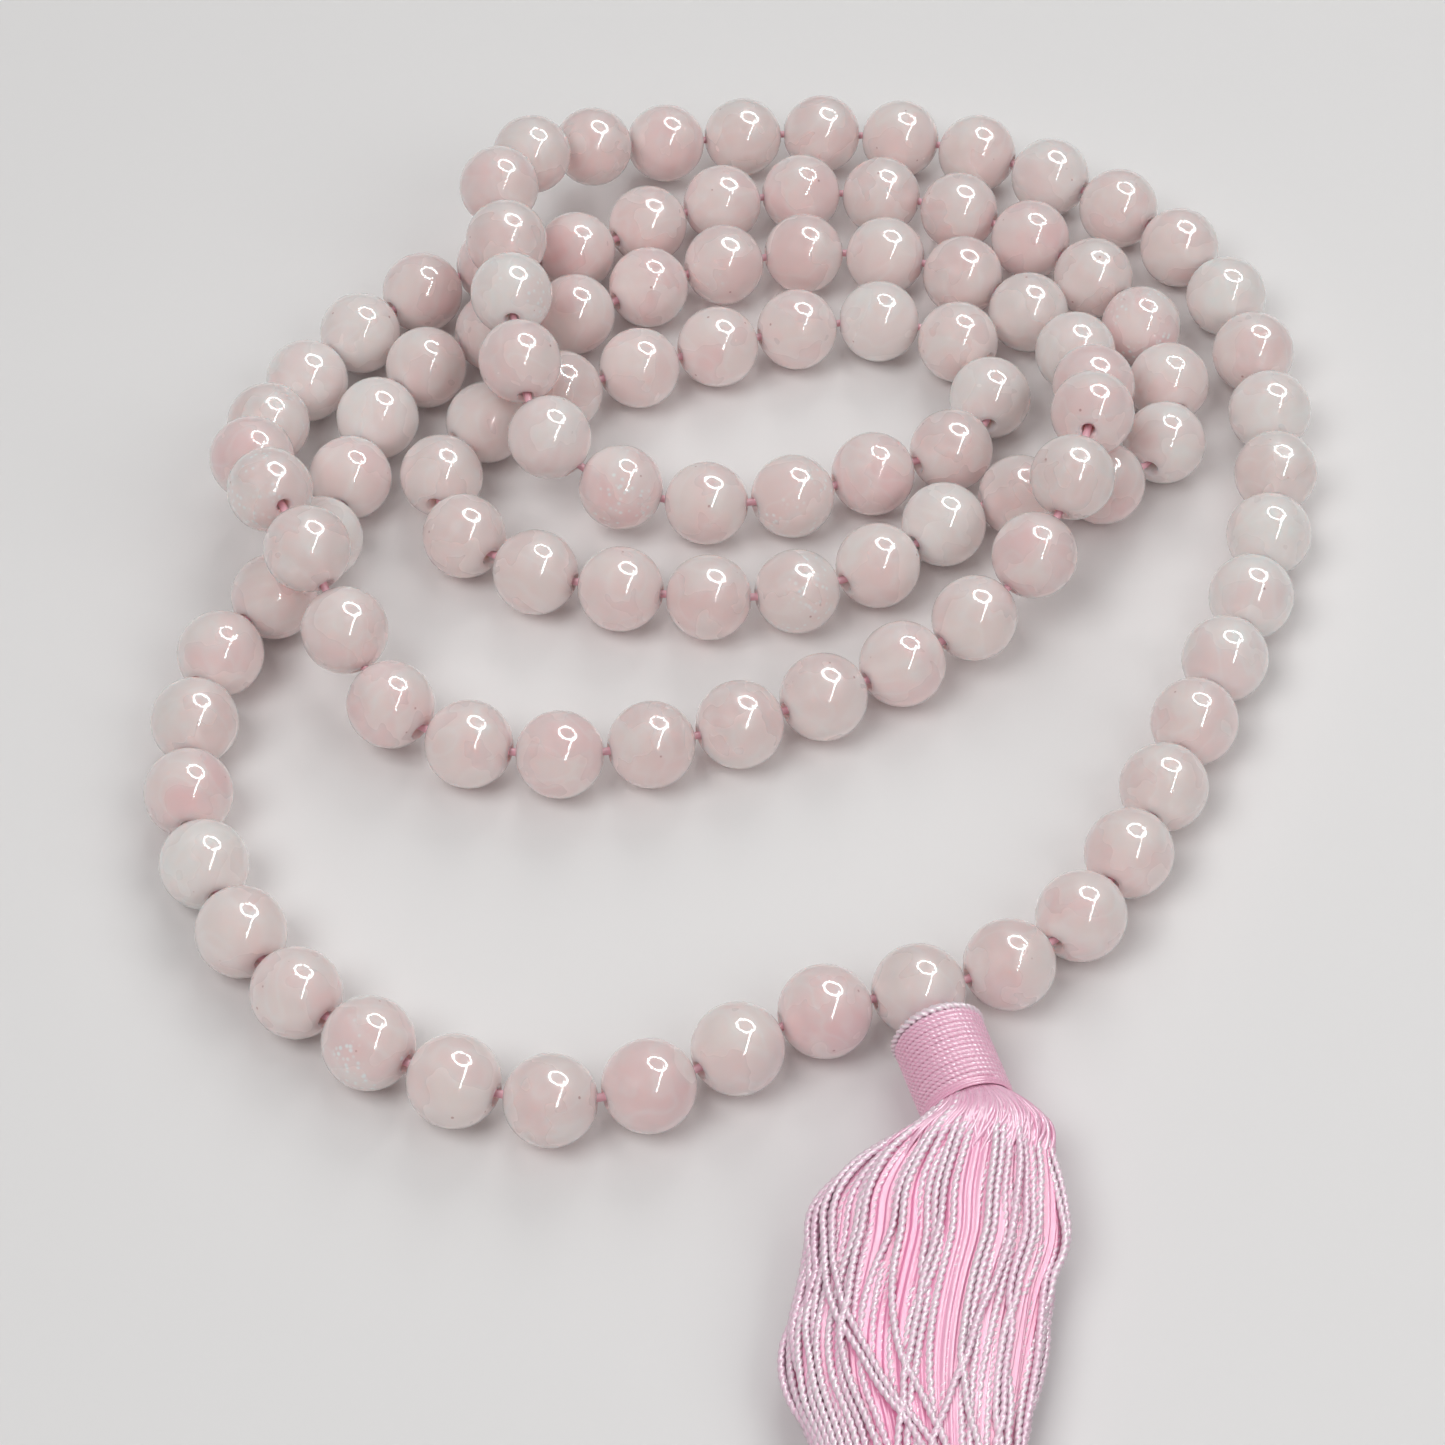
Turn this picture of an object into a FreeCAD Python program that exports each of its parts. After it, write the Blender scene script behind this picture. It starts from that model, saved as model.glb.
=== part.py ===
"""Rose quartz mala: 108 counting beads and a T-drilled guru bead on one cord, with a wound tassel.

The strand lies on a flat surface (z = 0) in four loose turns. Turn 1 starts at the guru bead in
front, goes up the right side, round the back, and comes down over the other turns. Millimetres,
+Z up, origin under the middle of the whole object.
"""
import FreeCAD, Part
import math
import os
from FreeCAD import Vector

# ---------------------------------------------------------------- driving dimensions
BEAD_D = 8.0
BEAD_COUNT = 108            # counting beads, without the guru bead
BORE_D = 1.3
BORE_MOUTH = 0.25           # depth of the small countersink at each mouth
TAIL_BORE_D = 2.0           # the guru bead's third hole
CORD_D = 0.7
BEND_TANGENT = 1.5          # how far before the gap between two beads the cord starts to bend
CORNER_HOLD = 0.09          # how firmly the cord's corners are held midway between the bores
SPINNING = 23               # beads on each side of the guru bead that are nodes of their own
GROUPS = (21, 21, 20)       # the beads between them, in three nodes

HEAD_START = 4.3            # from the guru bead's centre to the tassel head's top
HEAD_LENGTH = 8.5
HEAD_D = 8.0
CORE_D = 6.6
WRAP_GAP = 0.05
RIM_CORD_D = 0.65
BINDING_D = 0.5
POCKET_D = 2.8              # the hole in the head that holds the knot and the hanger loop
POCKET_DEPTH = 6.0
KNOT_D = 2.5
FOLD_D = 0.8                # the folded strands that hang on the loop

# The strand's route, from the guru bead round to the guru bead again: the control points of a
# clamped quadratic B-spline. Heights above 4 are where it rides over another turn.
ROUTE = [
    (13.5, -22, 4),
    # turn 1: right side and back
    (23, -20, 4), (32, -9, 4), (39, 7, 4), (46, 22, 4), (50, 37, 4), (50, 51, 4), (47, 66, 4),
    (36, 78, 4), (21, 86, 4), (6, 88, 4), (-8, 86, 4), (-18, 82, 7),
    # turn 1: down over the three others, then the innermost row
    (-26, 74, 12), (-24, 62, 12), (-23, 50, 13), (-21, 39, 9), (-12, 35, 4), (1, 34, 4),
    (13, 39, 4), (23, 43, 4), (23, 55, 4),
    # turn 2: back, left, second row, and under the right side of turn 3
    (14, 60, 4), (3, 58, 4), (-8, 54, 4), (-20, 49, 4), (-28, 44, 4), (-31, 34, 4), (-23, 26, 4),
    (-11, 23, 4), (1, 22, 4), (12, 26, 4), (21, 35, 4), (32, 36, 4), (40, 41, 4), (41, 53, 4),
    # turn 3: back, left over turn 4, third row, and up over the end of turn 2
    (35, 66, 4), (22, 76, 4), (8, 79, 4), (-7, 76, 4), (-17, 69, 4), (-29, 67, 4), (-39, 58, 4),
    (-46, 47, 4), (-48, 35, 9), (-42, 24, 14), (-37, 15, 7), (-32, 7, 4), (-20, 3, 4), (-7, 5, 4),
    (6, 10, 4), (18, 17, 4), (27, 25, 8), (31, 35, 14), (33, 46, 8),
    # turn 4: back, left under turn 3, and the outer front
    (31, 57, 4), (21, 67, 4), (8, 70, 4), (-6, 67, 4), (-17, 60, 4), (-29, 57, 4), (-37, 46, 4),
    (-39, 34, 4), (-43, 24, 4), (-49, 17, 4), (-51, 3, 4), (-48, -10, 4), (-40, -22, 4),
    (-29, -30, 4), (-17, -34, 4), (-6, -31, 4), (4, -24, 4),
    (13.5, -22, 4),
]

# The skirt's cross-sections: middle x and y, half its width, its underside and its top. It lies on
# the surface and starts in a rounded end, so that it can sway under the head.
SKIRT_SECTIONS = [
    (17.6, -36.9, 1.0, 3.4, 4.6), (17.2, -37.9, 4.0, 0.6, 7.6), (16.1, -40.4, 7.6, 0.1, 8.4),
    (14.3, -44.8, 10.4, 0.1, 8.0), (13.2, -50.0, 10.8, 0.1, 7.4), (12.0, -57.0, 10.4, 0.1, 7.2),
    (11.8, -65.0, 7.9, 0.1, 7.6), (12.4, -78.0, 7.6, 0.1, 7.2), (13.0, -91.5, 8.0, 0.1, 6.4),
]
INNER_SHARE = 0.6           # the inner strands' share of the skirt's width and height

UP = Vector(0, 0, 1)


# ---------------------------------------------------------------- the strand
def route_curve(steps=60):
    """Points along the route's B-spline, close enough together to measure along."""
    pts = [Vector(*p) for p in ROUTE]
    joins = [pts[0]] + [(a + b) * 0.5 for a, b in zip(pts[1:-2], pts[2:-1])] + [pts[-1]]
    curve = [joins[0]]
    for start, handle, end in zip(joins, pts[1:-1], joins[1:]):
        for i in range(1, steps + 1):
            t = i / steps
            curve.append(start * (1 - t) ** 2 + handle * (2 * t * (1 - t)) + end * t ** 2)
    return curve


def step_along(curve, pitch):
    """Points on the curve with the same straight distance from each to the next."""
    points = [curve[0]]
    for a, b in zip(curve, curve[1:]):
        while (b - points[-1]).Length >= pitch:
            run, back = b - a, a - points[-1]
            A, B, C = run.dot(run), 2 * back.dot(run), back.dot(back) - pitch ** 2
            points.append(a + run * ((-B + math.sqrt(B * B - 4 * A * C)) / (2 * A)))
            if len(points) > BEAD_COUNT + 1:
                return points
    return points


def bead_centres():
    """The guru bead's centre, then the 108 others, at the one pitch that closes the strand."""
    curve = route_curve()
    low, high = BEAD_D, BEAD_D * 1.1
    for _ in range(50):
        pitch = (low + high) / 2
        if len(step_along(curve, pitch)) > BEAD_COUNT + 1:
            low = pitch
        else:
            high = pitch
    print(f"pitch {low:.3f}, gap between beads {low - BEAD_D:.3f}")
    return step_along(curve, low)[:BEAD_COUNT + 1]


def cord_corners(centres):
    """The point in each gap where the cord turns from one bore into the next.

    Each corner starts midway between the two beads' mouths. The corners are then moved until the
    runs between them pass through the beads' centres, and are held back by CORNER_HOLD.
    """
    around = zip(centres[-1:] + centres[:-1], centres[1:] + centres[:1])
    chords = [(after - before).normalize() for before, after in around]
    half = (centres[1] - centres[0]).Length / 2
    gaps = zip(centres, chords, centres[1:] + centres[:1], chords[1:] + chords[:1])
    start = [(a + ta * half + b - tb * half) * 0.5 for a, ta, b, tb in gaps]
    start[0], start[-1] = centres[0] + chords[0] * half, centres[0] - chords[0] * half
    corners = list(start)
    for _ in range(400):
        for i in range(1, len(corners) - 1):
            beads = (centres[i] + centres[i + 1]) * 0.5
            beside = (corners[i - 1] + corners[i + 1]) * 0.25
            corners[i] = (beads - beside + start[i] * CORNER_HOLD) * (1 / (0.5 + CORNER_HOLD))
    return corners


def bore_axes(corners):
    """Each bead's bore runs from the corner before it to the corner after it."""
    return [(b - a).normalize() for a, b in zip(corners[-1:] + corners[:-1], corners)]


def cord_path(centres, axes, corners):
    """The corners, with the cord's two ends beside the guru bead's third hole."""
    end = axes[0] * (TAIL_BORE_D / 2 + 0.3)
    return [centres[0] + end] + corners + [centres[0] - end]


def tube(path, diameter, tangent):
    """A round cord of straight runs and tangent arcs, as one solid."""
    edges, here, radii, length = [], path[0], [], 0.0
    for before, corner, after in zip(path, path[1:], path[2:]):
        come, go = (corner - before).normalize(), (after - corner).normalize()
        turn = come.getAngle(go)
        first, last = corner - come * tangent, corner + go * tangent
        radius = tangent / math.tan(turn / 2)
        inward = (go - come).normalize()
        middle = corner + inward * (radius * (1 / math.cos(turn / 2) - 1))
        edges += [Part.LineSegment(here, first).toShape(), Part.Arc(first, middle, last).toShape()]
        length += (first - here).Length + radius * turn
        radii.append(radius)
        here = last
    edges.append(Part.LineSegment(here, path[-1]).toShape())
    length += (path[-1] - here).Length
    ring = Part.Wire(Part.makeCircle(diameter / 2, path[0], (path[1] - path[0]).normalize()))
    solid = Part.Wire(edges).makePipeShell([ring], True, False)
    share = solid.Volume / (length * math.pi * diameter ** 2 / 4)
    print(f"cord {length:.1f} long, radii from {min(radii):.1f}, volume is {share:.4f} of section x length")
    return solid


# ---------------------------------------------------------------- beads
def bead_blank():
    """One bead with its bore along Z."""
    r, bore = BEAD_D / 2, BORE_D / 2
    mouth = bore + BORE_MOUTH
    edge = math.sqrt(r ** 2 - mouth ** 2)
    throat = edge - BORE_MOUTH
    at = lambda x, z: Vector(x, 0, z)
    outline = [
        Part.LineSegment(at(bore, -throat), at(bore, throat)),
        Part.LineSegment(at(bore, throat), at(mouth, edge)),
        Part.Arc(at(mouth, edge), at(r, 0), at(mouth, -edge)),
        Part.LineSegment(at(mouth, -edge), at(bore, -throat)),
    ]
    face = Part.Face(Part.Wire([e.toShape() for e in outline]))
    return face.revolve(Vector(0, 0, 0), UP, 360)


def placed(shape, centre, axis):
    """A copy of a shape made at the origin along +Z, moved to a centre and turned to an axis."""
    copy = shape.copy()
    copy.Placement = FreeCAD.Placement(centre, FreeCAD.Rotation(UP, axis))
    return copy


# ---------------------------------------------------------------- tassel, made along +Z at the origin
def ring_cord(radius, diameter, z):
    return Part.makeTorus(radius, diameter / 2, Vector(0, 0, z))


def cord_tails():
    """The cord's two ends side by side in the guru bead's third hole."""
    side, start = CORD_D / 2 + 0.05, 0.3
    tails = [
        Part.makeCylinder(CORD_D / 2, BEAD_D / 2 - start, Vector(x, 0, start))
        for x in (-side, side)
    ]
    return Part.Compound(tails)


def head_core():
    """The folded strands bound into a drum, with the pocket that holds the knot and the loop."""
    start = HEAD_START + 0.2
    drum = Part.makeCylinder(CORE_D / 2, HEAD_LENGTH - 0.4, Vector(0, 0, start))
    pocket = Part.makeCylinder(POCKET_D / 2, POCKET_DEPTH, Vector(0, 0, start))
    fold = Part.makeCylinder(FOLD_D / 2, CORE_D - 1, Vector(0, CORE_D / 2 - 0.5, fold_z()), Vector(0, -1, 0))
    return drum.cut(pocket).fuse(fold)


def knot_z():
    return HEAD_START + 0.2 + KNOT_D / 2


def fold_z():
    return HEAD_START + 0.2 + POCKET_DEPTH - FOLD_D / 2 - CORD_D - 0.3


def cord_knot():
    return Part.makeSphere(KNOT_D / 2, Vector(0, 0, knot_z()))


def hanger_loop():
    """A loop of cord from the knot, under the folded strands."""
    reach = FOLD_D / 2 + CORD_D / 2 + 0.05
    top, bend = knot_z() + KNOT_D / 2 - 0.1, fold_z()
    lowest = Vector(0, 0, bend + reach)
    legs = [Vector(-reach, 0, top), Vector(-reach, 0, bend), Vector(reach, 0, bend), Vector(reach, 0, top)]
    path = Part.Wire([
        Part.LineSegment(legs[0], legs[1]).toShape(),
        Part.Arc(legs[1], lowest, legs[2]).toShape(),
        Part.LineSegment(legs[2], legs[3]).toShape(),
    ])
    return path.makePipeShell([Part.Wire(Part.makeCircle(CORD_D / 2, legs[0], UP))], True, False)


def neck_wrap():
    """The thread wound side by side round the head, between the rim cord and the binding."""
    start = HEAD_START + RIM_CORD_D
    length = HEAD_LENGTH - RIM_CORD_D - BINDING_D
    outer = Part.makeCylinder(HEAD_D / 2, length, Vector(0, 0, start))
    return outer.cut(Part.makeCylinder(CORE_D / 2 + WRAP_GAP, length, Vector(0, 0, start)))


def rim_cord():
    return ring_cord(HEAD_D / 2 - RIM_CORD_D / 2 + 0.05, RIM_CORD_D - 0.1, HEAD_START + RIM_CORD_D / 2)


def binding_thread():
    return ring_cord((HEAD_D - BINDING_D) / 2, BINDING_D - 0.1, HEAD_START + HEAD_LENGTH - BINDING_D / 2)


def skirt_loft(share):
    """The skirt's outline at a share of its width and height, with each section an ellipse."""
    wires = []
    for i, (x, y, half, low, top) in enumerate(SKIRT_SECTIONS):
        before = SKIRT_SECTIONS[max(i - 1, 0)]
        after = SKIRT_SECTIONS[min(i + 1, len(SKIRT_SECTIONS) - 1)]
        along = Vector(after[0] - before[0], after[1] - before[1], 0).normalize()
        middle = Vector(x, y, (low + top) / 2)
        across = along.cross(UP)
        width, height = half * share, (top - low) / 2 * share
        ends = (middle + across * width, middle + UP * height)
        if width < height:
            ends = ends[::-1]
        wires.append(Part.Wire(Part.Ellipse(ends[0], ends[1], middle).toShape()))
    return Part.makeLoft(wires, True, False)


def write(shape, node):
    if not shape.isValid():
        raise ValueError(f"{node} isn't a valid shape")
    shape.exportStep(f"parts/{node}.step")


def main():
    os.makedirs("parts", exist_ok=True)
    centres = bead_centres()
    corners = cord_corners(centres)
    axes = bore_axes(corners)
    blank = bead_blank()

    beads = [placed(blank, c, t) for c, t in zip(centres[1:], axes[1:])]
    singles = list(range(SPINNING)) + list(range(BEAD_COUNT - SPINNING, BEAD_COUNT))
    for i in singles:
        write(beads[i], f"bead_{i + 1:03d}")
    start = SPINNING
    for size in GROUPS:
        group = Part.Compound(beads[start:start + size])
        write(group, f"beads_{start + 1:03d}_to_{start + size:03d}")
        start += size
    write(tube(cord_path(centres, axes, corners), CORD_D, BEND_TANGENT), "stringing_cord")

    # the tassel lies square to the strand, on the surface
    guru, strand = centres[0], axes[0]
    outward = strand.cross(UP)
    third_hole = Part.makeCylinder(TAIL_BORE_D / 2, BEAD_D, guru, outward)
    write(placed(blank, guru, strand).cut(third_hole), "guru_bead")
    made = {
        "guru_cord_tails": cord_tails(),
        "cord_knot": cord_knot(),
        "hanger_loop": hanger_loop(),
        "tassel_head_core": head_core(),
        "tassel_rim_cord": rim_cord(),
        "tassel_neck_wrap": neck_wrap(),
        "tassel_binding_thread": binding_thread(),
    }
    for node, shape in made.items():
        write(placed(shape, guru, outward), node)
    print(f"guru bead at {guru}, strand along {strand}, tassel along {outward}")

    outer, inner = skirt_loft(1.0), skirt_loft(INNER_SHARE)
    write(outer.cut(inner), "tassel_skirt_outer")
    write(inner, "tassel_skirt_inner")


main()
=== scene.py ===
"""A rose quartz mala: 108 beads and a guru bead on a pink cord, with a tassel of twisted thread.

Everything is in metres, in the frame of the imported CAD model. Sizes given in millimetres are
multiplied by MM where they are used.
"""
import math

import bpy
import numpy as np
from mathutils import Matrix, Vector


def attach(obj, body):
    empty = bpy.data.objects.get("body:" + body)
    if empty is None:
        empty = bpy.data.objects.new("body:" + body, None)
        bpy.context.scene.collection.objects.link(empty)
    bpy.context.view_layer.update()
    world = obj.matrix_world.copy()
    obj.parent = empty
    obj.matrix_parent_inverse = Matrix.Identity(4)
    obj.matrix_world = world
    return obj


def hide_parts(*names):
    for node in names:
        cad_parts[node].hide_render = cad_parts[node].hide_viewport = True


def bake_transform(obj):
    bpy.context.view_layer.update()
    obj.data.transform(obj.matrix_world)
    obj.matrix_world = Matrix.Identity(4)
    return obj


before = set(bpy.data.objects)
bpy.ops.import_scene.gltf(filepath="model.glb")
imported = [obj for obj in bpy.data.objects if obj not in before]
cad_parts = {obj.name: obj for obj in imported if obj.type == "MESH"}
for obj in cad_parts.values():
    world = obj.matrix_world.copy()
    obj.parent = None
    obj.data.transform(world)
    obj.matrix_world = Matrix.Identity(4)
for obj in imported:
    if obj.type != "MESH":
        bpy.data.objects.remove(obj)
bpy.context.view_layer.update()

MM = 0.001

# ---------------------------------------------------------------- sizes, in millimetres
BEAD_D = 8.0
BEAD_COUNT = 108
BORE_D = 1.3
BORE_MOUTH = 0.25
TAIL_BORE_D = 2.0
CORD_D = 0.7
HEAD_START = 4.3            # the head's first edge, along the tassel from the guru bead's centre
HEAD_LENGTH = 8.5
STRAND_D = 0.70
NECK_INSIDE = 12.3          # where the strands start, inside the head, along the tassel

VIEW_TILT = 50.0            # the camera looks this many degrees down
CAMERA_AT = (-3.0, -194.1, 244.1)

SPINNING = 23
GROUPS = ("beads_024_to_044", "beads_045_to_065", "beads_066_to_085")
GROUP_SIZES = (21, 21, 20)

# the route of the strand on the surface, in millimetres, as in the CAD
ROUTE = [
    (13.5, -22, 4),
    # turn 1
    (23, -20, 4), (32, -9, 4), (39, 7, 4), (46, 22, 4), (50, 37, 4), (50, 51, 4), (47, 66, 4),
    (36, 78, 4), (21, 86, 4), (6, 88, 4), (-8, 86, 4), (-18, 82, 7), (-26, 74, 12), (-24, 62, 12),
    (-23, 50, 13), (-21, 39, 9), (-12, 35, 4), (1, 34, 4), (13, 39, 4), (23, 43, 4), (23, 55, 4),
    # turn 2
    (14, 60, 4), (3, 58, 4), (-8, 54, 4), (-20, 49, 4), (-28, 44, 4), (-31, 34, 4), (-23, 26, 4),
    (-11, 23, 4), (1, 22, 4), (12, 26, 4), (21, 35, 4), (32, 36, 4), (40, 41, 4), (41, 53, 4),
    # turn 3
    (35, 66, 4), (22, 76, 4), (8, 79, 4), (-7, 76, 4), (-17, 69, 4), (-29, 67, 4), (-39, 58, 4),
    (-46, 47, 4), (-48, 35, 9), (-42, 24, 14), (-37, 15, 7), (-32, 7, 4), (-20, 3, 4), (-7, 5, 4),
    (6, 10, 4), (18, 17, 4), (27, 25, 8), (31, 35, 14), (33, 46, 8),
    # turn 4
    (31, 57, 4), (21, 67, 4), (8, 70, 4), (-6, 67, 4), (-17, 60, 4), (-29, 57, 4), (-37, 46, 4),
    (-39, 34, 4), (-43, 24, 4), (-49, 17, 4), (-51, 3, 4), (-48, -10, 4), (-40, -22, 4),
    (-29, -30, 4), (-17, -34, 4), (-6, -31, 4), (4, -24, 4),
    (13.5, -22, 4),
]

rng = np.random.default_rng(108)


# ---------------------------------------------------------------- node helpers
class Nodes:
    """A material's node tree, with one short call for each kind of node."""

    def __init__(self, name):
        self.material = bpy.data.materials.new(name)
        self.material.use_nodes = True
        self.tree = self.material.node_tree
        self.shader = self.tree.nodes["Principled BSDF"]

    def add(self, kind, settings=None, **inputs):
        node = self.tree.nodes.new(kind)
        for key, value in (settings or {}).items():
            setattr(node, key, value)
        for key, value in inputs.items():
            self.put(node.inputs[key.replace("_", " ")], value)
        return node

    def put(self, socket, value):
        if isinstance(value, bpy.types.NodeSocket):
            self.tree.links.new(value, socket)
        else:
            socket.default_value = value

    def set(self, **inputs):
        """Inputs of the material's own shader."""
        for key, value in inputs.items():
            self.put(self.shader.inputs[key.replace("_", " ")], value)

    def attribute(self, name):
        return self.add("ShaderNodeAttribute", {"attribute_name": name})

    def noise(self, vector, scale, detail=3.0, roughness=0.5, distortion=0.0):
        node = self.add("ShaderNodeTexNoise", Vector=vector, Scale=scale, Detail=detail,
                        Roughness=roughness, Distortion=distortion)
        return node.outputs["Fac"]

    def math(self, operation, a, b=0.0, clamp=False):
        node = self.add("ShaderNodeMath", {"operation": operation, "use_clamp": clamp})
        self.put(node.inputs[0], a)
        self.put(node.inputs[1], b)
        return node.outputs[0]

    def ramp(self, value, low, high, to_low=0.0, to_high=1.0):
        """value from low..high to to_low..to_high, held at both ends and smooth between them."""
        node = self.add("ShaderNodeMapRange", {"interpolation_type": "SMOOTHSTEP"})
        for key, v in zip(("Value", "From Min", "From Max", "To Min", "To Max"),
                          (value, low, high, to_low, to_high)):
            self.put(node.inputs[key], v)
        return node.outputs["Result"]

    def mix(self, share, a, b):
        """Two colours mixed."""
        node = self.add("ShaderNodeMix", {"data_type": "RGBA", "blend_type": "MIX"})
        self.put(node.inputs["Factor"], share)
        for key, colour in (("A", a), ("B", b)):
            socket = [s for s in node.inputs if s.name == key and s.type == "RGBA"][0]
            self.put(socket, (*colour, 1.0) if isinstance(colour, tuple) else colour)
        return [s for s in node.outputs if s.type == "RGBA"][0]

    def bump(self, height, strength, distance):
        node = self.add("ShaderNodeBump", Height=height, Strength=strength, Distance=distance)
        return node.outputs["Normal"]


# ---------------------------------------------------------------- mesh helpers
def mesh_object(name, verts, quads, material, smooth=True, **attributes):
    """A mesh piece from arrays of points and of four-cornered faces, with float attributes."""
    data = bpy.data.meshes.new(name)
    data.from_pydata(np.asarray(verts).tolist(), [], [list(q) for q in quads])
    for key, values in attributes.items():
        values = np.asarray(values, np.float32)
        kind, field = ("FLOAT_VECTOR", "vector") if values.ndim == 2 else ("FLOAT", "value")
        data.attributes.new(key, kind, "POINT").data.foreach_set(field, values.ravel())
    data.update()
    if smooth:
        data.shade_smooth()
    data.materials.append(material)
    piece = bpy.data.objects.new(name, data)
    bpy.context.scene.collection.objects.link(piece)
    return piece


def lines_between(path):
    """The unit direction at each point of a path, from the point before to the point after."""
    step = np.gradient(path, axis=0)
    return step / np.linalg.norm(step, axis=1, keepdims=True)


def frames_along(path, closed=False):
    """Two unit normals at each point of a path, carried along it without twist."""
    tangent = lines_between(path)
    if closed:
        step = np.roll(path, -1, axis=0) - np.roll(path, 1, axis=0)
        tangent = step / np.linalg.norm(step, axis=1, keepdims=True)
    first = np.cross(tangent[0], (0.0, 0.0, 1.0))
    if np.linalg.norm(first) < 0.1:
        first = np.cross(tangent[0], (0.0, 1.0, 0.0))
    normal = np.empty_like(path)
    here = first / np.linalg.norm(first)
    for i, t in enumerate(tangent):
        here = here - t * here.dot(t)
        here = here / np.linalg.norm(here)
        normal[i] = here
    return normal, np.cross(tangent, normal)


def hermite(values, run, at):
    """Rows of values, given at run, read smoothly at the distances in at."""
    slope = np.gradient(values, run, axis=0)
    i = np.clip(np.searchsorted(run, at, side="right") - 1, 0, len(run) - 2)
    width = (run[i + 1] - run[i])[:, None]
    t = (at - run[i])[:, None] / width
    a, b, c, d = values[i], slope[i] * width, values[i + 1], slope[i + 1] * width
    return (a * (2 * t ** 3 - 3 * t ** 2 + 1) + b * (t ** 3 - 2 * t ** 2 + t)
            + c * (3 * t ** 2 - 2 * t ** 3) + d * (t ** 3 - t ** 2))


def even(path, spacing):
    """The same path with its points an even distance apart, on a smooth curve through them."""
    path = np.asarray(path, float)
    run = np.concatenate([[0.0], np.cumsum(np.linalg.norm(np.diff(path, axis=0), axis=1))])
    count = max(int(round(run[-1] / spacing)), 2)
    at = np.linspace(0.0, run[-1], count + 1)
    return hermite(path, run, at)


def ring_faces(rings, sides, start=0, closed=False):
    """The quads of a tube whose points are in rings, one after the other."""
    i = np.arange(rings if closed else rings - 1)[:, None]
    k = np.arange(sides)[None, :]
    after = (i + 1) % rings
    corners = [i * sides + k, i * sides + (k + 1) % sides,
               after * sides + (k + 1) % sides, after * sides + k]
    return np.stack(np.broadcast_arrays(*corners), -1).reshape(-1, 4) + start


class Bundle:
    """Threads gathered into one mesh, with each point's tone and how deep it lies between the plies, which the
    thread material darkens as painted shade.
    """

    def __init__(self):
        self.verts, self.faces, self.tone, self.groove, self.count = [], [], [], [], 0

    def thread(self, path, diameter, tone, lay=0.0, plies=2, depth=0.36, sides=8, step=0.15,
               taper=0.0, closed=False):
        """A twisted thread along a path in mm. lay is the length of one full turn of the plies."""
        if not closed:
            path = even(path, step)
        normal, side = frames_along(path, closed)
        run = np.concatenate([[0.0], np.cumsum(np.linalg.norm(np.diff(path, axis=0), axis=1))])
        around = np.linspace(0, 2 * math.pi, sides, endpoint=False)
        if lay:
            whole = run[-1] + np.linalg.norm(path[0] - path[-1]) if closed else lay
            turns = max(round(whole / lay), 1) / whole if closed else 1 / lay
            spin = 2 * math.pi * run * turns + rng.uniform(0, 6.28)
        else:
            spin = np.zeros(len(run))
        lobe = np.abs(np.cos(around * plies / 2)) if lay else np.ones(sides)
        radius = diameter / 2 * (1 - depth + depth * lobe)
        size = np.ones(len(run))
        if taper:
            size = np.clip(np.minimum(run, run[-1] - run) / taper, 0.15, 1.0) ** 0.5
        angle = around[None, :] + spin[:, None]
        reach = radius[None, :] * size[:, None]
        ring = (path[:, None, :] + (np.cos(angle) * reach)[..., None] * normal[:, None, :]
                + (np.sin(angle) * reach)[..., None] * side[:, None, :])
        rings = len(path)
        self.verts.append(ring.reshape(-1, 3) * MM)
        self.faces += ring_faces(rings, sides, self.count, closed).tolist()
        self.tone.append(np.full(rings * sides, tone))
        # how deep each point lies between the plies, for painted shade in the grooves
        self.groove.append(np.tile(1 - lobe, rings) if lay else np.zeros(rings * sides))
        if not closed:
            last = self.count + (rings - 1) * sides
            self.faces.append(list(range(self.count, self.count + sides))[::-1])
            self.faces.append(list(range(last, last + sides)))
        self.count += rings * sides

    def piece(self, name, material):
        return mesh_object(name, np.concatenate(self.verts), self.faces, material,
                           tone=np.concatenate(self.tone), groove=np.concatenate(self.groove))


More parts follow.
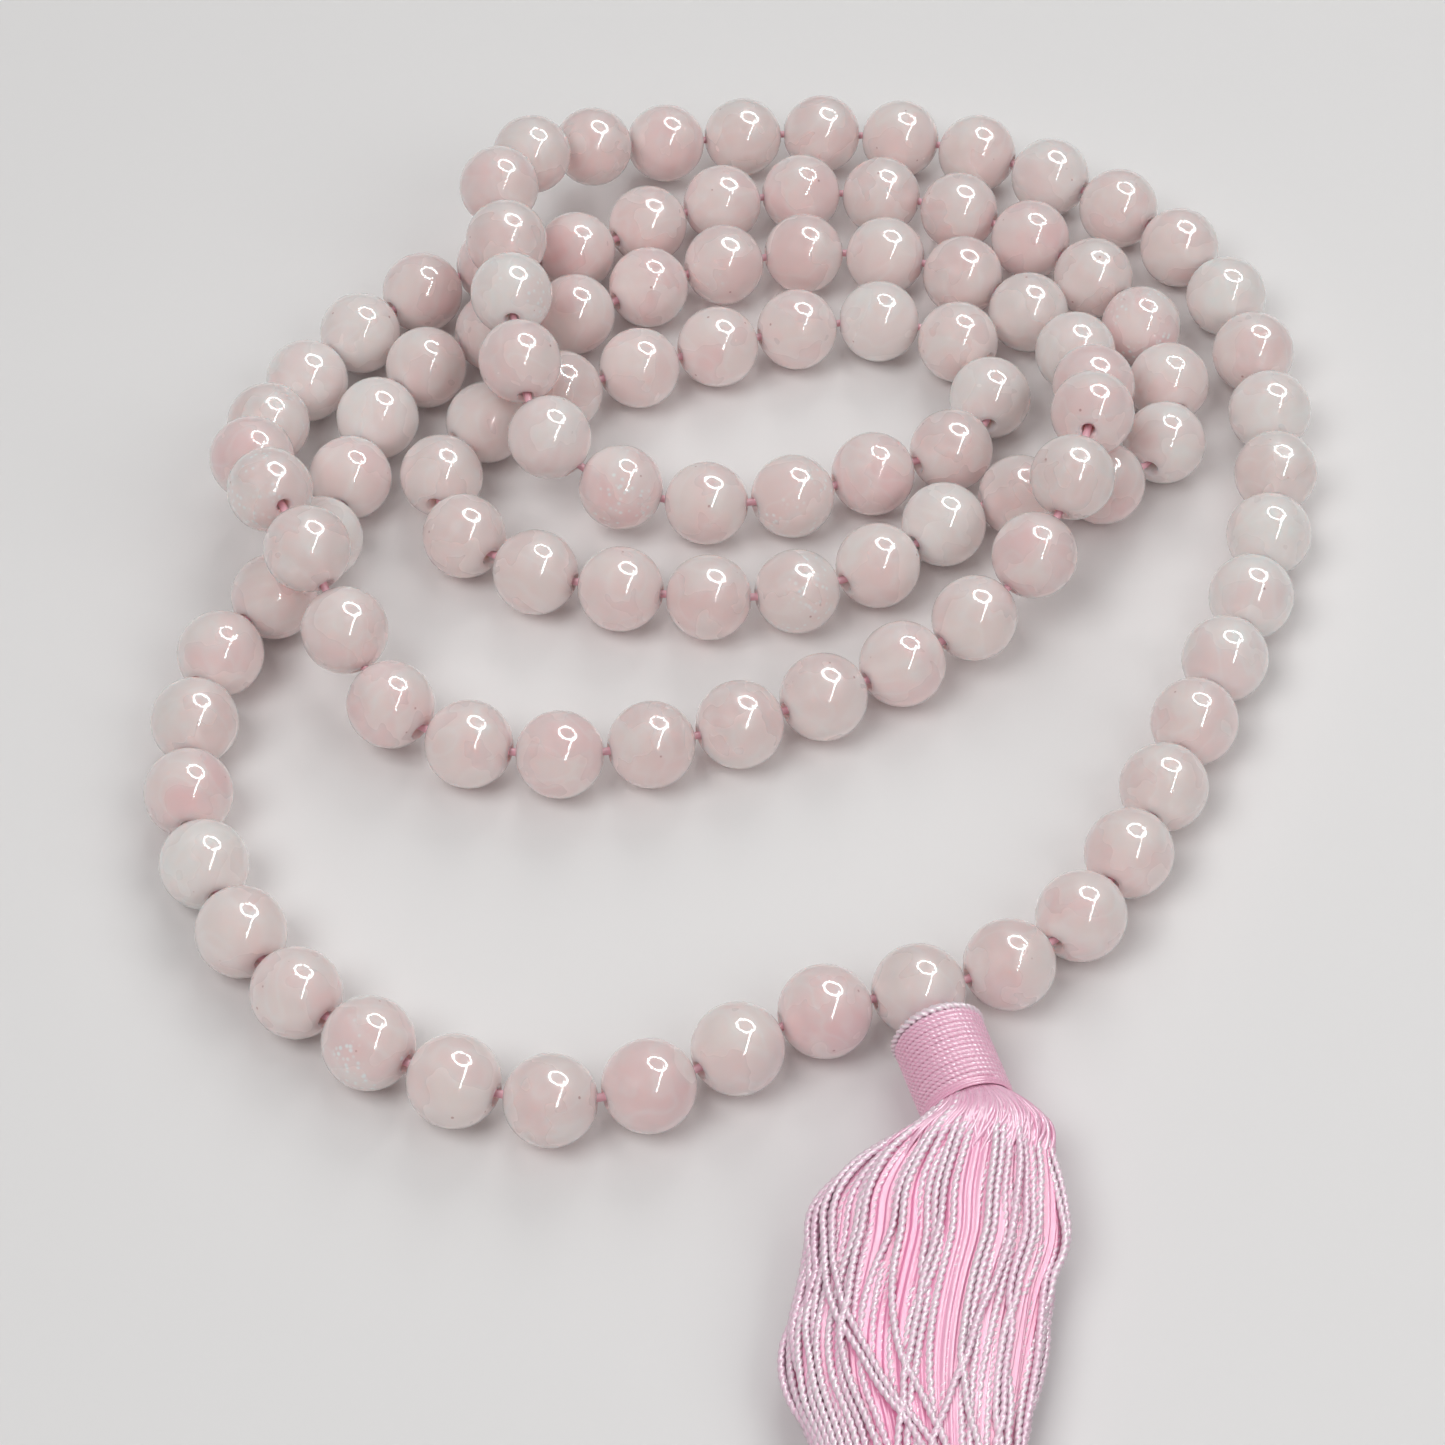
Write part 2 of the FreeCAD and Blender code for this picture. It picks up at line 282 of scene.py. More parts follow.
# ---------------------------------------------------------------- materials
def quartz(name, clear, pink, white, see_through):
    """Rose quartz: softly clouded, faintly veined stone under a hard polish."""
    n = Nodes(name)
    grain = n.attribute("grain").outputs["Vector"]
    tint = n.attribute("tint").outputs["Fac"]
    crack = n.attribute("crack").outputs["Fac"]
    cloud = n.ramp(n.noise(grain, 0.22, 2.0, 0.45, 0.2), 0.30, 0.72)
    body = n.mix(n.math("MULTIPLY", tint, n.ramp(cloud, 0, 1, 1.0, 0.45)), clear, pink)
    body = n.mix(n.math("MULTIPLY", cloud, 0.4), body, white)
    # pale veils that run through the stone
    stretch = n.add("ShaderNodeMapping", {"vector_type": "POINT"}, Vector=grain, Scale=(0.10, 0.34, 0.34))
    sheet = n.noise(stretch.outputs["Vector"], 1.0, 1.0, 0.4, 0.3)
    ridge = n.math("ABSOLUTE", n.math("SUBTRACT", sheet, 0.5))
    body = n.mix(n.math("MULTIPLY", n.ramp(ridge, 0.075, 0.0), 0.16), body, (1.0, 0.95, 0.94))
    # crumbled white fractures, in a few beads
    chips = n.add("ShaderNodeTexVoronoi", {"feature": "F1"}, Vector=grain, Scale=1.7, Randomness=1.0)
    patch = n.ramp(n.noise(grain, 0.25, 2.0), 0.48, 0.60)
    chip = n.math("MULTIPLY", n.ramp(chips.outputs["Distance"], 0.45, 0.12), patch)
    chip = n.math("MULTIPLY", chip, crack)
    body = n.mix(n.math("MULTIPLY", chip, 0.9), body, (1.0, 0.98, 0.97))
    # a rare reddish speck
    spots = n.add("ShaderNodeTexVoronoi", {"feature": "F1"}, Vector=grain, Scale=0.35, Randomness=1.0)
    speck = n.ramp(spots.outputs["Distance"], 0.060, 0.030)
    body = n.mix(n.math("MULTIPLY", speck, 0.55), body, (0.38, 0.12, 0.11))
    n.set(Base_Color=body, Roughness=n.ramp(cloud, 0, 1, 0.22, 0.36), IOR=1.54,
          Subsurface_Weight=1.0, Subsurface_Scale=2.2 * MM, Subsurface_Radius=(1.0, 0.80, 0.76),
          Transmission_Weight=see_through, Coat_Weight=1.0, Coat_Roughness=0.015, Coat_IOR=1.5,
          Specular_IOR_Level=0.0, Normal=n.bump(chip, 0.12, 0.05 * MM))
    n.shader.inputs["Subsurface Anisotropy"].default_value = 0.4
    return n.material


def thread(name, pale, deep, roughness=0.34, sheen=0.35):
    """Satin thread: pale where the plies stand proud, with painted shade deepening the colour in the grooves
    between them.
    """
    n = Nodes(name)
    where = n.add("ShaderNodeTexCoord").outputs["Object"]
    tone = n.attribute("tone").outputs["Fac"]
    groove = n.attribute("groove").outputs["Fac"]
    drift = n.noise(where, 120.0, 2.0)
    share = n.math("ADD", n.math("MULTIPLY", tone, 0.7), n.math("MULTIPLY", drift, 0.35), clamp=True)
    body = n.mix(share, pale, deep)
    # painted shade: the grooves between the plies are mixed towards the deep colour
    body = n.mix(n.ramp(groove, 0.30, 0.9, 0.0, 0.70), body, deep)
    stretch = n.add("ShaderNodeMapping", {"vector_type": "POINT"}, Vector=where, Scale=(9000, 1800, 9000))
    fibre = n.noise(stretch.outputs["Vector"], 1.0, 2.0, 0.6)
    body = n.mix(n.ramp(fibre, 0.3, 0.7, 0.10, 0.0), body, deep)
    n.set(Base_Color=body, Roughness=n.ramp(fibre, 0.3, 0.7, roughness - 0.05, roughness + 0.10), IOR=1.5,
          Sheen_Weight=sheen, Sheen_Roughness=0.4, Normal=n.bump(fibre, 0.25, 0.05 * MM))
    n.shader.inputs["Sheen Tint"].default_value = (1.0, 0.86, 0.92, 1.0)
    return n.material


quartz_pink = quartz("quartz_pink", (0.93, 0.76, 0.74), (0.92, 0.66, 0.66), (0.95, 0.85, 0.82), 0.13)
quartz_clear = quartz("quartz_clear", (0.93, 0.78, 0.76), (0.92, 0.70, 0.69), (0.95, 0.86, 0.84), 0.22)
quartz_milky = quartz("quartz_milky", (0.93, 0.81, 0.79), (0.92, 0.74, 0.73), (0.95, 0.88, 0.86), 0.10)
thread_skirt = thread("thread_skirt", (1.0, 0.93, 0.96), (1.0, 0.60, 0.79), 0.26, 0.0)
# the inner thread's deeper pink is partly its own colour and partly painted shade for the shaded inside of the
# tassel
thread_inner = thread("thread_inner", (0.96, 0.52, 0.70), (0.88, 0.28, 0.50), 0.40, 0.1)
thread_floss = thread("thread_floss", (0.98, 0.68, 0.81), (0.93, 0.42, 0.63), 0.30, 0.12)
thread_rim = thread("thread_rim", (1.0, 0.90, 0.94), (0.96, 0.66, 0.79), 0.32, 0.12)
thread_wrap = thread("thread_wrap", (0.97, 0.66, 0.79), (0.93, 0.47, 0.65), 0.24, 0.12)
thread_cord = thread("thread_cord", (0.95, 0.56, 0.64), (0.88, 0.38, 0.48), 0.5)


# ---------------------------------------------------------------- the cord and the bead centres
def nurbs(name, points):
    """The route as one smooth open spline, in metres."""
    data = bpy.data.curves.new(name, "CURVE")
    data.dimensions = "3D"
    spline = data.splines.new("NURBS")
    spline.points.add(len(points) - 1)
    for point, (x, y, z) in zip(spline.points, points):
        point.co = (x * MM, y * MM, z * MM, 1.0)
    spline.order_u = 3
    spline.use_endpoint_u = True
    piece = bpy.data.objects.new(name, data)
    bpy.context.scene.collection.objects.link(piece)
    return piece


def read_curve(curve, resolution):
    """The points of a curve with no bevel, in millimetres."""
    curve.data.resolution_u = resolution
    bpy.context.view_layer.update()
    line = bpy.data.meshes.new_from_object(curve)
    points = np.array([v.co for v in line.vertices]) / MM
    bpy.data.meshes.remove(line)
    return points


def step_along(curve, pitch):
    """Points on the curve with the same straight distance from each to the next."""
    points = [curve[0]]
    for a, b in zip(curve, curve[1:]):
        while np.linalg.norm(b - points[-1]) >= pitch:
            run, back = b - a, a - points[-1]
            A, B, C = run @ run, 2 * back @ run, back @ back - pitch ** 2
            points.append(a + run * ((-B + math.sqrt(B * B - 4 * A * C)) / (2 * A)))
            if len(points) > BEAD_COUNT + 1:
                return points
    return points


def bead_centres(curve):
    """The guru bead's centre, then the others, at the one pitch that closes the strand."""
    low, high = BEAD_D, BEAD_D * 1.1
    for _ in range(30):
        pitch = (low + high) / 2
        if len(step_along(curve, pitch)) > BEAD_COUNT + 1:
            low = pitch
        else:
            high = pitch
    return np.array(step_along(curve, low)[:BEAD_COUNT + 1])


def unit(rows):
    return rows / np.linalg.norm(rows, axis=1, keepdims=True)


def bore_axes(centres, hold=0.09):
    """The direction of each bead's bore, along the cord's run through it, as in the CAD."""
    after = np.roll(centres, -1, axis=0)
    chords = unit(after - np.roll(centres, 1, axis=0))
    half = np.linalg.norm(centres[1] - centres[0]) / 2
    start = (centres + chords * half + after - np.roll(chords, -1, axis=0) * half) / 2
    start[0], start[-1] = centres[0] + chords[0] * half, centres[0] - chords[0] * half
    corners = start.copy()
    for _ in range(400):
        for i in range(1, len(corners) - 1):
            beside = (corners[i - 1] + corners[i + 1]) / 4
            corners[i] = ((centres[i] + centres[i + 1]) / 2 - beside + start[i] * hold) / (0.5 + hold)
    return unit(corners - np.roll(corners, 1, axis=0))


cord = nurbs("stringing_cord_pink", ROUTE)
centres = bead_centres(read_curve(cord, 60))
axes = bore_axes(centres)
cord.data.resolution_u = 10
cord.data.bevel_depth = CORD_D / 2 * MM
cord.data.bevel_resolution = 3
cord.data.materials.append(thread_cord)
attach(cord, "strand")
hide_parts("stringing_cord")

guru, strand_axis = centres[0], axes[0]
UP = np.array([0.0, 0.0, 1.0])
out = np.cross(strand_axis, UP)


# ---------------------------------------------------------------- beads
def bead_profile(rings=26):
    """(radius, height) along a bead's meridian, up the bore and back over the outside."""
    r, bore = BEAD_D / 2, BORE_D / 2
    mouth = bore + BORE_MOUTH
    edge = math.sqrt(r ** 2 - mouth ** 2)
    throat = edge - BORE_MOUTH
    end = math.asin(edge / r)
    outside = [(r * math.cos(a), r * math.sin(a)) for a in np.linspace(end, -end, rings)]
    inside = [(bore, -throat), (bore, -throat * 0.5), (bore, 0), (bore, throat * 0.5), (bore, throat)]
    # the mouth's two edges are eased
    ease = [(mouth - 0.05, edge - 0.035)], [(mouth - 0.05, -edge + 0.035)]
    return inside + ease[0] + outside + ease[1]


def bead(name, centre, axis, material, tint, crack, segments=48):
    """One bead, turned about its bore, with its own grain, tint and share of fractures."""
    profile = np.array(bead_profile())
    side = np.cross(axis, UP)
    side = side / np.linalg.norm(side)
    lift = np.cross(side, axis)
    angle = np.linspace(0, 2 * math.pi, segments, endpoint=False)
    # real beads are a little out of round
    oval = 1 - 0.006 * (1 + np.cos(2 * angle + rng.uniform(0, 6.28)))
    size = rng.uniform(0.988, 1.0)
    radius = profile[:, 0][:, None] * np.where(profile[:, 0][:, None] > 1.0, oval[None, :] * size, 1.0)
    local = (axis * (profile[:, 1][:, None, None] * size)
             + side * (radius * np.cos(angle))[..., None] + lift * (radius * np.sin(angle))[..., None])
    verts = local.reshape(-1, 3)
    turn = np.linalg.qr(rng.normal(size=(3, 3)))[0]
    grain = verts @ turn + rng.uniform(-500, 500, 3)
    faces = ring_faces(len(profile), segments, closed=True)
    count = len(verts)
    return mesh_object(name, (verts + centre) * MM, faces.tolist(), material, grain=grain,
                       tint=np.full(count, tint), crack=np.full(count, crack))


def bead_look(i):
    """Which stone a bead is cut from: most are pink, some clearer, some milky."""
    pick = rng.random()
    material = quartz_pink if pick < 0.62 else quartz_clear if pick < 0.86 else quartz_milky
    return material, rng.uniform(0.25, 1.0), 1.0 if rng.random() < 0.08 else 0.0


for i in range(1, BEAD_COUNT + 1):
    piece = bead(f"quartz_bead_{i:03d}", centres[i], axes[i], *bead_look(i))
    single = i <= SPINNING or i > BEAD_COUNT - SPINNING
    if single:
        node = f"bead_{i:03d}"
        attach(piece, node)
    else:
        place = np.searchsorted(np.cumsum(GROUP_SIZES), i - SPINNING)
        node = GROUPS[place]
        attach(piece, "strand")
    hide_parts(node)

# ---------------------------------------------------------------- tassel head
def on_tassel(along, around, radius):
    """A point in mm at a distance along the tassel and an angle and radius about its axis."""
    side = np.cos(around)[..., None] * strand_axis + np.sin(around)[..., None] * UP
    return guru + np.asarray(along)[..., None] * out + side * np.asarray(radius)[..., None]


def ring_path(along, radius, step=0.12):
    count = int(2 * math.pi * radius / step)
    turn = np.linspace(0, 2 * math.pi, count, endpoint=False)
    return on_tassel(np.full(count, along), turn, np.full(count, radius))


def tassel_head():
    """The wound neck between a rope rim and a binding thread."""
    rim = Bundle()
    rim.thread(ring_path(HEAD_START + 0.10, 3.42), 0.60, 0.0, lay=1.25, depth=0.48, closed=True)
    rim.thread(ring_path(HEAD_START + 0.50, 3.82), 0.66, 0.0, lay=1.25, depth=0.48, closed=True)
    piece = rim.piece("tassel_rim_rope", thread_rim)
    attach(piece, "tassel_head")
    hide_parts("tassel_rim_cord")

    wrap = Bundle()
    first, last, pitch = HEAD_START + 0.85, HEAD_START + HEAD_LENGTH - 0.68, 0.46
    turns = (last - first) / pitch
    turn = np.arange(0, turns * 2 * math.pi, 0.035)
    uneven = 0.02 * np.sin(turn * 0.37) + 0.015 * np.sin(turn * 1.13)
    path = on_tassel(first + turn / (2 * math.pi) * pitch + uneven, turn, np.full(len(turn), 3.70))
    wrap.thread(path, 0.56, 0.2, lay=0.86, depth=0.30, step=0.13)
    piece = wrap.piece("tassel_wrap_thread", thread_wrap)
    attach(piece, "tassel_head")
    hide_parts("tassel_neck_wrap")

    edge = Bundle()
    for along, radius, size in ((HEAD_START + HEAD_LENGTH - 0.64, 3.70, 0.40),
                                (HEAD_START + HEAD_LENGTH - 0.36, 3.78, 0.26),
                                (HEAD_START + HEAD_LENGTH - 0.16, 3.74, 0.22)):
        edge.thread(ring_path(along, radius), size, 0.8, closed=True)
    piece = edge.piece("tassel_edge_thread", thread_wrap)
    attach(piece, "tassel_head")
    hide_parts("tassel_binding_thread")


# ---------------------------------------------------------------- tassel skirt
# the skirt's outline from above, in mm: y, left edge, right edge, lowest, highest
OUTLINE = [
    (-35.6, 12.2, 22.4, 0.3, 8.0), (-37.6, 9.0, 24.1, 0.1, 8.5), (-40.6, 6.2, 24.7, 0.1, 8.6),
    (-44.0, 3.9, 25.0, 0.1, 8.4), (-47.6, 3.3, 24.8, 0.1, 8.0), (-51.2, 2.6, 23.6, 0.1, 7.7),
    (-55.5, 1.7, 22.6, 0.1, 7.6), (-60.0, 1.9, 21.6, 0.1, 7.5), (-65.2, 3.8, 20.3, 0.1, 7.4),
    (-72.0, 4.6, 20.2, 0.1, 7.2), (-80.0, 5.0, 20.4, 0.1, 7.0), (-86.0, 5.0, 20.8, 0.1, 6.7),
    (-91.3, 4.9, 21.1, 0.1, 6.4),
]
STATIONS = 46
# strands that cross over the others on a long slant: the angle each starts and ends at
CROSSING = ((2.75, 1.35), (2.55, 1.20), (1.9, 1.1), (0.9, 1.75), (2.3, 1.75), (1.15, 0.55), (1.6, 2.3))
# loops that stand clear of the left and right edges: angle, how far out, and where along the skirt
LOOPS = ((3.05, 1.14, 0.20), (2.90, 1.12, 0.22), (3.20, 1.10, 0.42), (3.02, 1.13, 0.44),
         (0.10, 1.10, 0.20), (0.22, 1.08, 0.23), (-0.05, 1.09, 0.42))


def skirt_stations():
    """(centre, across, half width, half height) at each station, from inside the neck to the ends."""
    neck = guru + out * NECK_INSIDE
    rows = [(*neck, *strand_axis[:2], 3.3, 3.3)]
    for y, left, right, low, high in OUTLINE:
        turned = max(0.0, 1 - (neck[1] - y) / 8)
        direction = strand_axis * turned + np.array([1.0, 0.0, 0.0]) * (1 - turned)
        direction = direction / np.linalg.norm(direction)
        rows.append(((left + right) / 2, y, (low + high) / 2, *direction[:2],
                     (right - left) / 2, (high - low) / 2))
    rows = np.array(rows)
    run = np.concatenate([[0.0], np.cumsum(np.linalg.norm(np.diff(rows[:, :2], axis=0), axis=1))])
    return hermite(rows, run, np.linspace(0.0, run[-1], STATIONS))


rows = skirt_stations()
CENTRE, HALF, TALL = rows[:, :3], rows[:, 5], rows[:, 6]
ACROSS = np.concatenate([rows[:, 3:5], np.zeros((STATIONS, 1))], axis=1)
share = np.linspace(0.0, 1.0, STATIONS)


def in_skirt(a, b):
    """Points in mm from distances across and up from each station's centre."""
    return CENTRE + ACROSS * a[:, None] + UP * b[:, None]


def loose_paths(count):
    """Where each strand lies at each station, in mm across and up, with none inside another."""
    plain = count - len(CROSSING) - len(LOOPS)
    around = (np.arange(count) + rng.uniform(-0.35, 0.35, count)) / plain * 2 * math.pi
    around = around + 0.05 * np.sin(around * 9 + 1.0)
    drift = rng.normal(0, 0.13, count)
    sway = rng.normal(0, 0.075, (3, count))
    phase = rng.uniform(0, 6.28, (3, count))
    deep = rng.uniform(0.70, 0.99, count)
    angle = around[None, :] + drift[None, :] * share[:, None] * (1 - 0.3 * share[:, None])
    for k, (size, start) in enumerate(zip(sway, phase)):
        swing = np.sin(share[:, None] * (k + 1) * 4.0 + start[None, :])
        angle = angle + size[None, :] * swing * share[:, None] ** 0.5
    waver = 0.05 * np.sin(share[:, None] * 11 + phase[0][None, :])
    depth = np.clip(deep[None, :] + waver, 0.62, 1.0)
    for k, (start, end) in enumerate(CROSSING):
        blend = np.clip((share - 0.22 - 0.03 * k) / 0.45, 0, 1)
        blend = blend * blend * (3 - 2 * blend)
        angle[:, plain + k] = start + (end - start) * blend
        depth[:, plain + k] = 1.06
    for k, (start, reach, middle) in enumerate(LOOPS, plain + len(CROSSING)):
        angle[:, k] = start + 0.1 * np.sin(share * 5 + k)
        depth[:, k] = 0.86 + (reach - 0.86) * np.exp(-((share - middle) / 0.085) ** 2)
    depth[0] = np.clip(depth[0], 0.3, 0.97)
    a = np.cos(angle) * depth * HALF[:, None]
    b = np.sin(angle) * depth * TALL[:, None]
    spot = np.stack([a, b], -1)
    first = spot.copy()
    free = np.clip(share * 9, 0, 1)[:, None, None]
    limit = np.where(depth > 1.0, depth, 1.0)
    for _ in range(36):
        gap = spot[:, :, None, :] - spot[:, None, :, :]
        far = np.maximum(np.linalg.norm(gap, axis=-1), 0.02) + np.eye(count)[None] * 9
        push = np.clip(STRAND_D * 0.97 - far, 0, None) / far
        spot = spot + free * 0.45 * (gap * push[..., None]).sum(2)
        spot[1:-1] += 0.20 * (spot[:-2] + spot[2:] - 2 * spot[1:-1])
        spot += 0.02 * (first - spot)
        inset = STRAND_D / 2
        reach = np.sqrt((spot[..., 0] / (HALF[:, None] - inset)) ** 2
                        + (spot[..., 1] / (TALL[:, None] - inset)) ** 2)
        spot = spot / np.maximum(reach / limit, 1.0)[..., None]
        spot[..., 1] = np.maximum(spot[..., 1], (inset - CENTRE[:, 2])[:, None])
    return spot


def skirt_piece(piece):
    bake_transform(piece)
    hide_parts("tassel_skirt_outer", "tassel_skirt_inner")


def skirt_strands(count=136, pieces=7):
    """The twisted strands, in several pieces, with uneven cut ends."""
    spot = loose_paths(count)
    for p in range(pieces):
        bundle = Bundle()
        for k in range(p, count, pieces):
            path = in_skirt(spot[:, k, 0], spot[:, k, 1])
            keep = STATIONS - 1 if rng.random() < 0.6 else STATIONS - 2
            tone = float(np.clip(rng.normal(0.18, 0.16), 0, 1))
            bundle.thread(path[:keep + 1], STRAND_D * rng.uniform(0.94, 1.0), tone, lay=1.5, depth=0.40,
                          step=0.155)
        skirt_piece(bundle.piece(f"skirt_strands_{p + 1}", thread_skirt))


def inner_floss():
    """The deep pink mass under the strands, combed lengthwise, and its own strand ends. Its deeper pink is
    partly the thread's own colour and partly painted shade for the shaded inside of the tassel.
    """
    sides, stop, lobes = 504, STATIONS - 9, 84
    turn = np.linspace(0, 2 * math.pi, sides, endpoint=False)
    verts, tone, groove = [], [], []
    for j in range(stop):
        slide = share[j] * 2.2
        phase = turn * lobes / 2 + 1.6 * np.sin(turn * 3 + slide) + 0.8 * np.sin(turn * 7 - slide * 1.7)
        comb = np.abs(np.sin(phase))
        reach = (0.86 if j else 0.7) + 0.045 * comb + 0.02 * np.sin(turn * 17 + slide * 5)
        a, b = np.cos(turn) * HALF[j] * reach, np.sin(turn) * TALL[j] * reach
        verts.append(CENTRE[j] + ACROSS[j] * a[:, None] + UP * b[:, None])
        tone.append(0.5 + 0.5 * np.sin(np.floor(phase / math.pi) * 12.9))
        # painted shade in the grooves between the combed lobes
        groove.append(1 - comb)
    faces = ring_faces(stop, sides).tolist()
    faces += [list(range(sides))[::-1], list(range((stop - 1) * sides, stop * sides))]
    tone = np.clip(np.concatenate(tone), 0, 1)
    skirt_piece(mesh_object("skirt_inner_floss", np.concatenate(verts) * MM, faces, thread_inner,
                            tone=tone, groove=np.concatenate(groove)))
    ends = Bundle()
    for ring, number in ((0.62, 26), (0.42, 17), (0.22, 9), (0.02, 2)):
        for k in range(number):
            angle = 2 * math.pi * (k + rng.uniform(-0.2, 0.2)) / number
            j = np.arange(STATIONS - 13, STATIONS)
            a, b = math.cos(angle) * ring * HALF[j], math.sin(angle) * ring * TALL[j]
            path = CENTRE[j] + ACROSS[j] * a[:, None] + UP * b[:, None]
            ends.thread(path, STRAND_D, float(rng.uniform(0.2, 0.7)), lay=1.5, depth=0.40, step=0.17)
    skirt_piece(ends.piece("skirt_inner_ends", thread_skirt))


def neck_floss(count=230):
    """The smooth untwisted fibres folded out from under the binding, mostly on top and to the right."""
    bundle = Bundle()
    for k in range(count):
        angle = rng.triangular(-0.5, 1.15, 2.5)
        reach = int(rng.integers(6, 10))
        j = np.arange(reach)
        grow = j / (reach - 1)
        depth = (0.95 + 0.075 * np.sin(np.clip(grow * 1.15, 0, 1) * math.pi)) - 0.40 * grow ** 2.2
        depth = depth + rng.uniform(-0.03, 0.02)
        lean = angle + rng.normal(0.0, 0.22) * grow + rng.normal(-0.05, 0.05) * np.sin(grow * 5)
        a, b = np.cos(lean) * HALF[j] * depth, np.sin(lean) * TALL[j] * depth
        path = CENTRE[j] + ACROSS[j] * a[:, None] + UP * b[:, None]
        path[:, 2] = np.maximum(path[:, 2], 0.25)
        bundle.thread(path, rng.uniform(0.26, 0.42), float(rng.uniform(0.1, 0.8)), sides=6, step=0.45,
                      taper=1.2)
    skirt_piece(bundle.piece("skirt_neck_floss", thread_floss))


tassel_head()
skirt_strands()
inner_floss()
neck_floss()


# ---------------------------------------------------------------- the guru bead and what is inside
def guru_bead():
    """The guru bead, with its third hole cut for the cord's tails."""
    piece = bead("quartz_guru_bead", guru, strand_axis, quartz_clear, 0.45, 0.0, 64)
    turn = np.linspace(0, 2 * math.pi, 40, endpoint=False)
    along = np.array([0.0, BEAD_D])
    wall = [on_tassel(np.full(40, d), turn, np.full(40, TAIL_BORE_D / 2)) for d in along]
    faces = ring_faces(2, 40).tolist() + [list(range(40)), list(range(40, 80))[::-1]]
    cutter = mesh_object("cutter", np.concatenate(wall) * MM, faces, quartz_clear, False)
    cut = piece.modifiers.new("third_hole", "BOOLEAN")
    cut.operation = "DIFFERENCE"
    cut.solver = "EXACT"
    cut.object = cutter
    bpy.context.view_layer.update()
    made = bpy.data.meshes.new_from_object(piece.evaluated_get(bpy.context.evaluated_depsgraph_get()))
    piece.modifiers.clear()
    piece.data = made
    bpy.data.objects.remove(cutter)
    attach(piece, "guru_bead")
    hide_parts("guru_bead")


guru_bead()
for node, finish in (("guru_cord_tails", thread_cord), ("cord_knot", thread_cord), ("hanger_loop", thread_cord),
                     ("tassel_head_core", thread_inner)):
    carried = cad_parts[node].data
    carried.materials.clear()
    carried.materials.append(finish)


# ---------------------------------------------------------------- floor, lights and camera
def plain(name, colour, roughness):
    n = Nodes(name)
    where = n.add("ShaderNodeTexCoord").outputs["Object"]
    shade = n.noise(where, 3.0, 2.0)
    n.set(Base_Color=n.mix(shade, colour, tuple(c * 0.97 for c in colour)), Roughness=roughness)
    return n.material


def floor():
    half = 3.0
    corners = [(-half, -half, 0), (half, -half, 0), (half, half, 0), (-half, half, 0)]
    piece = mesh_object("floor", corners, [(0, 1, 2, 3)], plain("floor_pale", (0.80, 0.79, 0.785), 0.75), False)
    piece.location.z = -0.00005


def glow(name, path, thickness, strength):
    """A bright tube that only shows as a reflection in the polish."""
    material = bpy.data.materials.new(name)
    material.use_nodes = True
    tree = material.node_tree
    tree.nodes.clear()
    emission = tree.nodes.new("ShaderNodeEmission")
    emission.inputs["Strength"].default_value = strength
    tree.links.new(emission.outputs[0], tree.nodes.new("ShaderNodeOutputMaterial").inputs[0])
    data = bpy.data.curves.new(name, "CURVE")
    data.dimensions = "3D"
    data.bevel_depth = thickness / 2
    data.bevel_resolution = 3
    spline = data.splines.new("POLY")
    spline.points.add(len(path) - 1)
    for point, co in zip(spline.points, path):
        point.co = (*co, 1.0)
    data.materials.append(material)
    piece = bpy.data.objects.new(name, data)
    bpy.context.scene.collection.objects.link(piece)
    piece.visible_camera = False
    piece.visible_diffuse = False
    piece.visible_transmission = False
    piece.visible_shadow = False


def area(name, location, size, power, target=(0, 0, 0)):
    data = bpy.data.lights.new(name, "AREA")
    data.shape = "DISK"
    data.size = size
    data.energy = power
    lamp = bpy.data.objects.new(name, data)
    bpy.context.scene.collection.objects.link(lamp)
    lamp.location = location
    lamp.rotation_euler = (Vector(target) - Vector(location)).to_track_quat("-Z", "Y").to_euler()
    lamp.visible_glossy = False
    return lamp


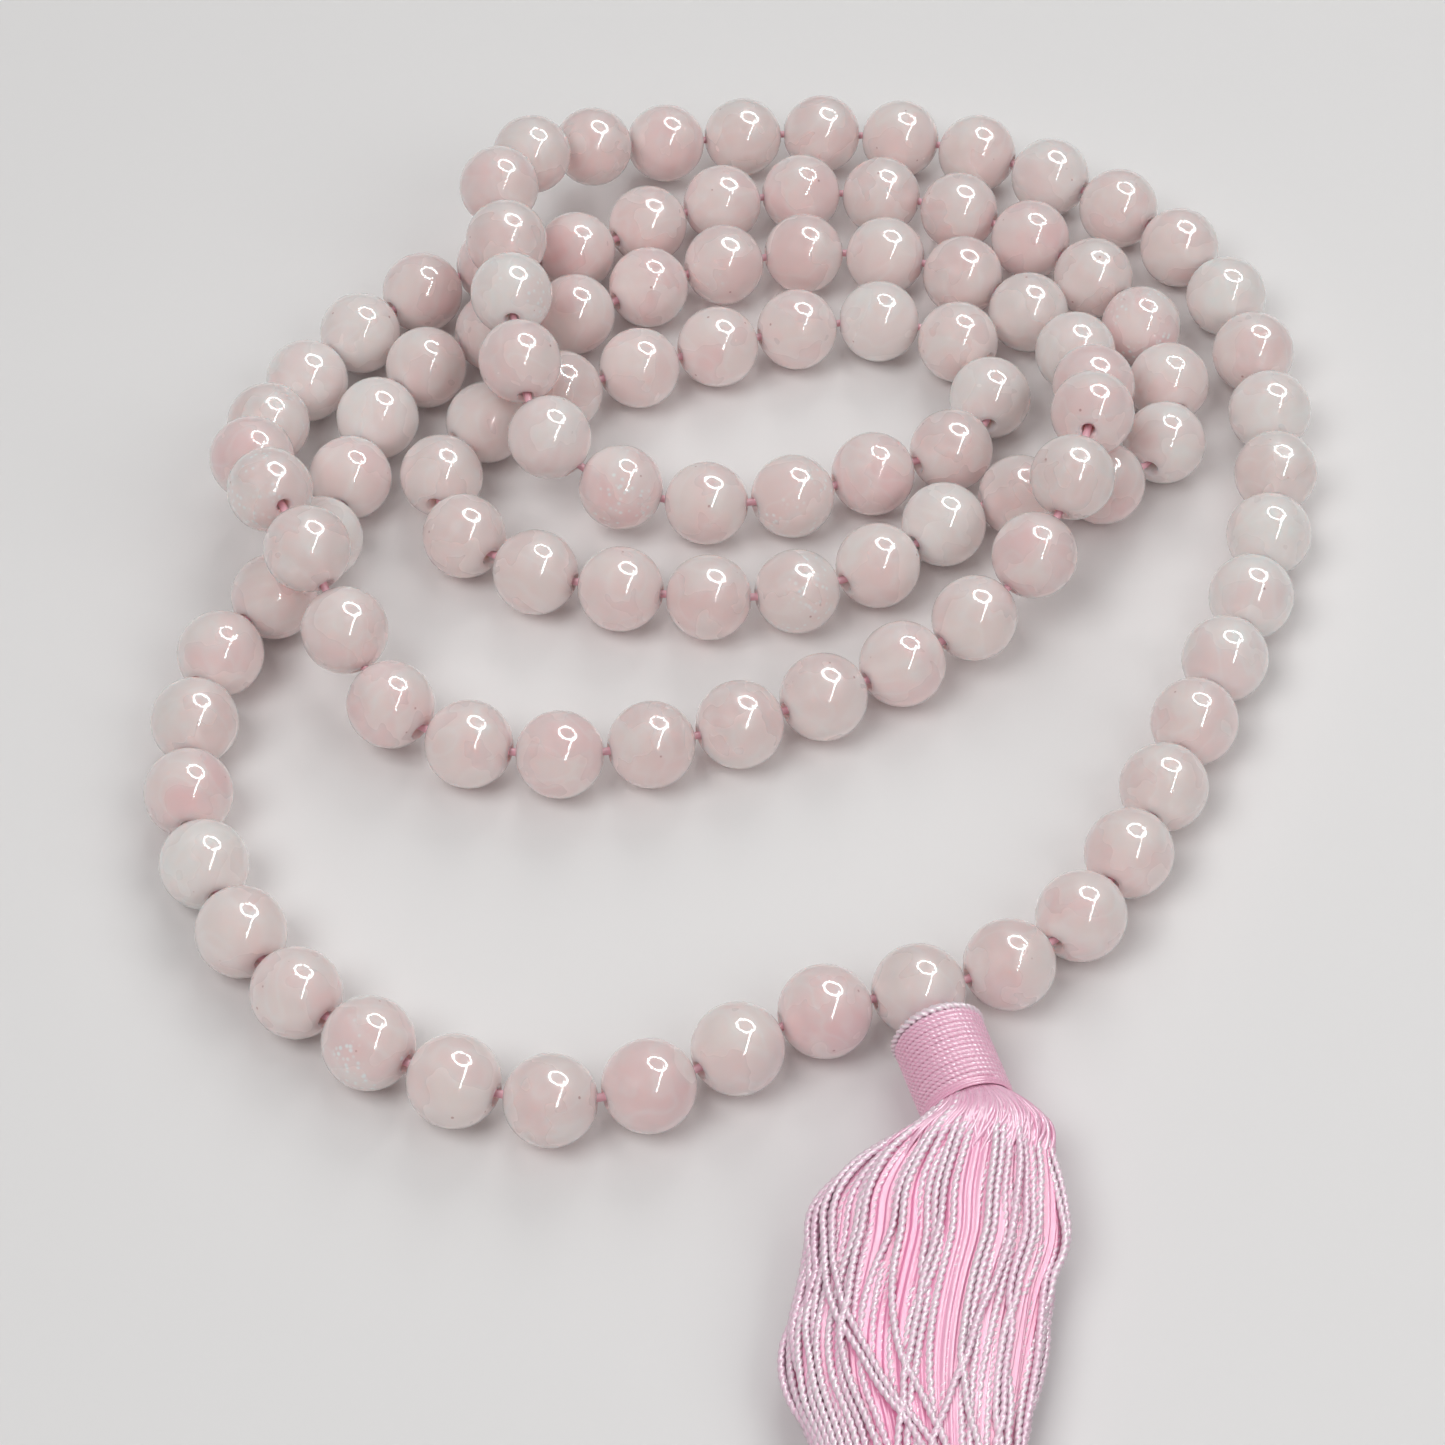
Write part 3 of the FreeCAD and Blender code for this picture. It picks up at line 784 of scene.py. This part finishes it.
def mirrored(right, up, distance=0.7):
    """Where a lamp hangs that a bead mirrors to the camera at that place on its face, in bead widths."""
    tilt = math.radians(VIEW_TILT)
    to_camera = Vector((0, -math.cos(tilt), math.sin(tilt)))
    over = Vector((0, math.sin(tilt), math.cos(tilt)))
    x, y = 2 * right, 2 * up
    normal = Vector((x, 0, 0)) + over * y + to_camera * math.sqrt(1 - x * x - y * y)
    return (normal * (2 * normal.dot(to_camera)) - to_camera) * distance


def ring_lamp():
    """The round lamp on its thin stand that every bead mirrors."""
    lean = math.radians(-24)
    ring = []
    for turn in range(0, 361, 10):
        x, y = 0.102 * math.cos(math.radians(turn)), 0.062 * math.sin(math.radians(turn))
        ring.append(mirrored(0.085 + x * math.cos(lean) - y * math.sin(lean),
                             0.245 + x * math.sin(lean) + y * math.cos(lean)))
    glow("lamp_ring", ring, 0.048, 34.0)
    stand = [mirrored(0.152 - 0.085 * t, 0.215 - 0.265 * t) for t in (0.0, 0.25, 0.5, 0.75, 1.0)]
    glow("lamp_stand", stand, 0.036, 30.0)


def camera():
    data = bpy.data.cameras.new("camera")
    data.sensor_width = 36.0
    data.lens = 3500 / 1445 * 36
    data.clip_start = 0.01
    data.clip_end = 20
    view = bpy.data.objects.new("camera", data)
    bpy.context.scene.collection.objects.link(view)
    tilt = math.radians(VIEW_TILT)
    view.location = tuple(c * MM for c in CAMERA_AT)
    direction = Vector((0, math.cos(tilt), -math.sin(tilt)))
    view.rotation_euler = direction.to_track_quat("-Z", "Y").to_euler()
    bpy.context.scene.camera = view


floor()
area("key", (-0.35, -0.25, 0.75), 0.55, 3.0)
area("fill", (0.55, -0.35, 0.55), 0.6, 1.6)
area("back", (0.1, 0.75, 0.55), 0.5, 1.9)
ring_lamp()
camera()
world = bpy.data.worlds.new("world")
world.use_nodes = True
world.node_tree.nodes["Background"].inputs["Color"].default_value = (1.0, 0.99, 0.985, 1.0)
world.node_tree.nodes["Background"].inputs["Strength"].default_value = 0.20
bpy.context.scene.world = world
bpy.context.scene.view_settings.view_transform = "Standard"
